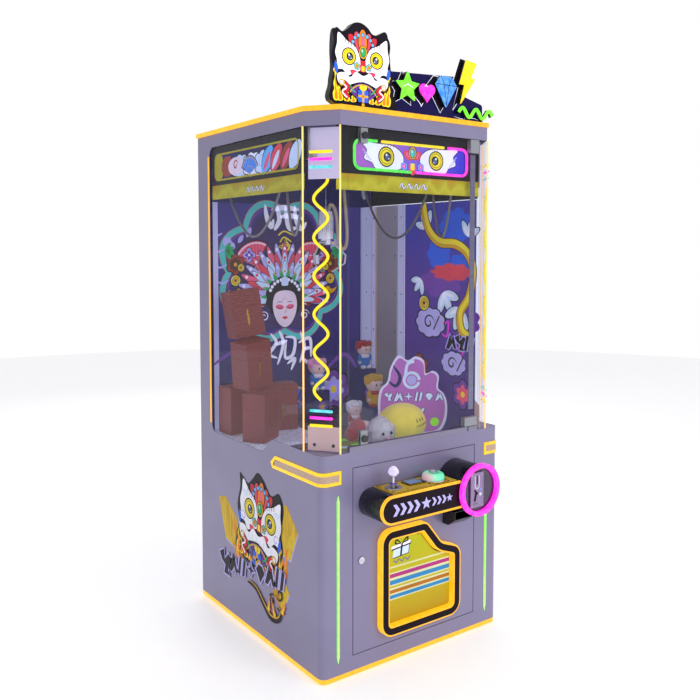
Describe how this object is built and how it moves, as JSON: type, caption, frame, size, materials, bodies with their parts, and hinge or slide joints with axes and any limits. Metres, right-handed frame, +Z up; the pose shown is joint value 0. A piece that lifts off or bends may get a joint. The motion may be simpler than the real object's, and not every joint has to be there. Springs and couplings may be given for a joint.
{
  "type": "prize crane machine",
  "caption": "Free-standing prize crane cabinet: glazed play area with gantry claw, lit edge bands, hinged service door with joystick, coin drum and prize flap, lit marquee.",
  "frame": {"origin": "centre of the footprint on the floor, under the levelling feet", "axes": "+Z up; the front with the controls faces -Y; +X to the right seen from the front"},
  "size_m": [0.842, 1.058, 2.2167],
  "materials": {
    "cabinet_paint": "satin pearl lavender grey powder coat",
    "black_steel": "satin black",
    "black_rubber": "matt",
    "amber_light": "lit amber silicone diffuser",
    "magenta_light": "lit magenta acrylic ring",
    "yellow_neon": "lit yellow silicone tube",
    "board": "painted board",
    "clear_acrylic": "clear polished",
    "clear_glass": "clear tempered",
    "grey_steel": "semi-gloss",
    "circuit": "circuit board and boxed supply",
    "black_plastic": "glossy",
    "print_dark": "printed film, gloss",
    "print_navy": "printed board, satin",
    "aluminium": "brushed",
    "chrome": "polished",
    "marquee_print": "printed and lit panel",
    "shape_light": "lit coloured acrylic",
    "cable": "grey cable jacket",
    "gift_card": "printed card",
    "white_fluff": "loose white fibre fill",
    "plush": "short plush",
    "panel_print": "printed film, gloss",
    "bezel": "clear-grey plastic",
    "flap_print": "printed polycarbonate",
    "crystal": "faceted clear plastic",
    "button_light": "lit translucent dome",
    "steel": "brushed",
    "dark_steel": "dark grey coat",
    "white_plastic": "smooth",
    "beige_cord": "curly cord jacket"
  },
  "bodies": {
    "cabinet": {"base_tray": "dark_steel", "leveling_feet": "black_rubber", "skirt_led": "amber_light", "side_panel_left": "cabinet_paint", "side_panel_right": "cabinet_paint", "front_frame": "cabinet_paint", "deck_frame": "cabinet_paint", "playfield": "board", "chute_fence": "clear_acrylic", "prize_chute": "grey_steel", "cash_box": "grey_steel", "control_board": "circuit", "back_panel": "cabinet_paint", "power_inlet": "black_plastic", "roof_box": "cabinet_paint", "roof_led_band": "amber_light", "header_panels": "print_dark", "neon_tubes": "yellow_neon", "corner_columns": "clear_acrylic", "edge_led_strips": "amber_light", "side_glass": "clear_glass", "poster_panels": "print_navy", "door_fittings": "aluminium", "corner_lamps": "amber_light", "marquee_board": "print_dark", "marquee_emblem": "marquee_print", "marquee_shapes": "shape_light", "gantry_rails": "aluminium", "festoon_cables": "cable", "gift_boxes": "gift_card", "prize_bed": "white_fluff", "prize_display": "plush"},
    "glass_door": {"glass_door": "clear_glass", "glass_hardware": "dark_steel"},
    "glass_lock_top": {"glass_lock_top": "black_steel"},
    "glass_lock_bottom": {"glass_lock_bottom": "black_steel"},
    "service_door": {"service_door": "cabinet_paint", "panel_housing": "black_steel", "panel_face": "print_dark", "door_led_rims": "amber_light", "panel_top": "panel_print", "control_bezels": "bezel", "drum_housing": "black_steel", "drum_ring_led": "magenta_light", "coin_acceptor": "chrome", "coin_return_cup": "black_plastic", "prize_frame": "black_plastic"},
    "joystick_gimbal": {"joystick_gimbal": "dark_steel"},
    "joystick": {"joystick": "crystal"},
    "drop_button": {"drop_button": "button_light"},
    "coin_return_button": {"coin_return_button": "white_plastic"},
    "prize_flap": {"prize_flap": "flap_print"},
    "door_lock": {"door_lock": "chrome"},
    "bridge": {"bridge": "aluminium"},
    "trolley": {"trolley": "dark_steel", "claw_rope": "beige_cord"},
    "winch_drum": {"winch_drum": "steel"},
    "claw_head": {"claw_head": "steel"},
    "claw_prong_1": {"claw_prong_1": "steel"},
    "claw_prong_2": {"claw_prong_2": "steel"},
    "claw_prong_3": {"claw_prong_3": "steel"}
  },
  "joints": [
    {"name": "service_door_hinge", "type": "hinge", "parent": "cabinet", "child": "service_door", "pos_m": [0.28, -0.38, 0.4], "axis": [0, 0, 1], "range_deg": [0, 85]},
    {"name": "door_lock_turn", "type": "hinge", "parent": "service_door", "child": "door_lock", "pos_m": [-0.251, -0.385, 0.4], "axis": [0, 1, 0], "range_deg": [0, 90]},
    {"name": "prize_flap_hinge", "type": "hinge", "parent": "service_door", "child": "prize_flap", "pos_m": [-0.066, -0.3895, 0.446], "axis": [1, 0, 0], "range_deg": [0, 45]},
    {"name": "joystick_tilt_x", "type": "hinge", "parent": "service_door", "child": "joystick_gimbal", "pos_m": [-0.16, -0.447, 0.634], "axis": [1, 0, 0], "range_deg": [-12, 12], "stiffness_Nm_per_rad": 0.6},
    {"name": "joystick_tilt_y", "type": "hinge", "parent": "joystick_gimbal", "child": "joystick", "pos_m": [-0.16, -0.447, 0.634], "axis": [0, 1, 0], "range_deg": [-12, 12], "stiffness_Nm_per_rad": 0.6},
    {"name": "drop_button_press", "type": "slide", "parent": "service_door", "child": "drop_button", "axis": [0, 0, -1], "range_m": [0, 0.004], "stiffness_N_per_m": 900},
    {"name": "coin_return_press", "type": "slide", "parent": "service_door", "child": "coin_return_button", "axis": [0, 1, 0], "range_m": [0, 0.005], "stiffness_N_per_m": 400},
    {"name": "glass_door_hinge", "type": "hinge", "parent": "cabinet", "child": "glass_door", "pos_m": [0.286, -0.377, 1.34], "axis": [0, 0, 1], "range_deg": [0, 100]},
    {"name": "glass_lock_top_turn", "type": "hinge", "parent": "glass_door", "child": "glass_lock_top", "pos_m": [-0.24, -0.385, 1.847], "axis": [0, -1, 0], "range_deg": [0, 90]},
    {"name": "glass_lock_bottom_turn", "type": "hinge", "parent": "glass_door", "child": "glass_lock_bottom", "pos_m": [-0.24, -0.385, 0.822], "axis": [0, 1, 0], "range_deg": [0, 90]},
    {"name": "bridge_travel", "type": "slide", "parent": "cabinet", "child": "bridge", "axis": [0, 1, 0], "range_m": [0, 0.56], "deforming": ["festoon_cables"]},
    {"name": "trolley_travel", "type": "slide", "parent": "bridge", "child": "trolley", "axis": [1, 0, 0], "range_m": [0, 0.533]},
    {"name": "claw_drop", "type": "slide", "parent": "trolley", "child": "claw_head", "axis": [0, 0, -1], "range_m": [0, 0.55], "deforming": ["claw_rope"]},
    {"name": "winch_spin", "type": "hinge", "parent": "trolley", "child": "winch_drum", "pos_m": [-0.283, -0.238, 1.775], "axis": [1, 0, 0], "range_deg": [-1, 1980]},
    {"name": "claw_open", "type": "hinge", "parent": "claw_head", "child": "claw_prong_1", "pos_m": [-0.283, -0.193, 1.49], "axis": [1, 0, 0], "range_deg": [0, 30]},
    {"name": "claw_open_2", "type": "hinge", "parent": "claw_head", "child": "claw_prong_2", "pos_m": [-0.30638, -0.2335, 1.49], "axis": [-0.5, 0.866, 0], "range_deg": [0, 30]},
    {"name": "claw_open_3", "type": "hinge", "parent": "claw_head", "child": "claw_prong_3", "pos_m": [-0.25962, -0.2335, 1.49], "axis": [-0.5, -0.866, 0], "range_deg": [0, 30]}
  ],
  "couplings": [
    {"joint": "winch_spin", "follows": "claw_drop", "rad_per_m": 62.5},
    {"joint": "claw_open_2", "follows": "claw_open", "ratio": 1},
    {"joint": "claw_open_3", "follows": "claw_open", "ratio": 1}
  ]
}
